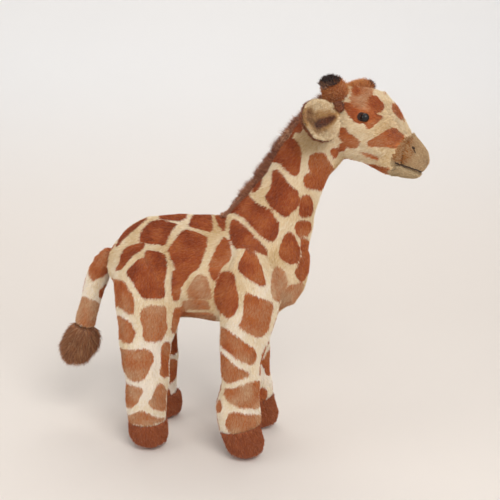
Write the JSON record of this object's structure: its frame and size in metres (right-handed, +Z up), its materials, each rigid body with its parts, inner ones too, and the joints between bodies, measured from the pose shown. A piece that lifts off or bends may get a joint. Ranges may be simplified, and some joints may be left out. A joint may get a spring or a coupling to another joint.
{
  "type": "plush giraffe",
  "caption": "Standing stuffed toy giraffe with patched short-pile covers, a long-pile mane and tail tuft, cupped ears that fold, and a tail that swings from its sewn root.",
  "frame": {"origin": "on the floor the toy stands on, under the middle of its bounding box", "axes": "+X is the way the toy faces, from tail to muzzle; +Y is its left side; +Z is up, from the hooves to the crown"},
  "size_m": [0.4126, 0.1294, 0.4084],
  "materials": {
    "giraffe_plush": "short knitted pile, red-brown patches printed on a cream ground",
    "muzzle_plush": "very short tan pile",
    "chin_plush": "very short greyish tan pile",
    "hoof_plush": "short rust-brown pile",
    "mane_pile": "long dark brown pile",
    "tuft_pile": "long brown pile",
    "horn_tip_pile": "long near-black brown pile",
    "ear_lining_plush": "short cream pile",
    "eyelid_felt": "pressed felt",
    "embroidery_thread": "satin-stitched polyester thread",
    "fibre_filling": "loose polyester fibre",
    "eye_plastic": "gloss",
    "washer_plastic": "matte"
  },
  "bodies": {
    "toy": {"torso_cover": "giraffe_plush", "neck_cover": "giraffe_plush", "head_cover": "giraffe_plush", "leg_cover_fore_right": "giraffe_plush", "leg_filling_fore_right": "fibre_filling", "hoof_fore_right": "hoof_plush", "leg_cover_fore_left": "giraffe_plush", "leg_filling_fore_left": "fibre_filling", "hoof_fore_left": "hoof_plush", "leg_cover_hind_right": "giraffe_plush", "leg_filling_hind_right": "fibre_filling", "hoof_hind_right": "hoof_plush", "leg_cover_hind_left": "giraffe_plush", "leg_filling_hind_left": "fibre_filling", "hoof_hind_left": "hoof_plush", "torso_filling": "fibre_filling", "neck_filling": "fibre_filling", "head_filling": "fibre_filling", "muzzle": "muzzle_plush", "chin": "chin_plush", "mane": "mane_pile", "mouth_thread": "embroidery_thread", "nostril_right": "embroidery_thread", "eye_right": "eye_plastic", "eyelid_right": "eyelid_felt", "eye_washer_right": "washer_plastic", "horn_right": "giraffe_plush", "horn_tip_right": "horn_tip_pile", "nostril_left": "embroidery_thread", "eye_left": "eye_plastic", "eyelid_left": "eyelid_felt", "eye_washer_left": "washer_plastic", "horn_left": "giraffe_plush", "horn_tip_left": "horn_tip_pile"},
    "tail": {"tail_cover": "giraffe_plush", "tail_filling": "fibre_filling", "tail_tuft": "tuft_pile"},
    "ear_right": {"ear_back_right": "giraffe_plush", "ear_lining_right": "ear_lining_plush"},
    "ear_left": {"ear_back_left": "giraffe_plush", "ear_lining_left": "ear_lining_plush"}
  },
  "joints": [
    {"name": "tail_swing", "type": "hinge", "parent": "toy", "child": "tail", "pos_m": [-0.14234, 0, 0.20044], "axis": [1, 0, 0], "range_deg": [-30, 30], "stiffness_Nm_per_rad": 0.02},
    {"name": "ear_fold_right", "type": "hinge", "parent": "toy", "child": "ear_right", "pos_m": [0.11459, -0.02899, 0.37967], "axis": [0.5812, 0.063, -0.8113], "range_deg": [-40, 5], "stiffness_Nm_per_rad": 0.02},
    {"name": "ear_fold_left", "type": "hinge", "parent": "toy", "child": "ear_left", "pos_m": [0.11459, 0.02899, 0.37967], "axis": [-0.5812, 0.063, 0.8113], "range_deg": [-40, 5], "stiffness_Nm_per_rad": 0.02}
  ]
}
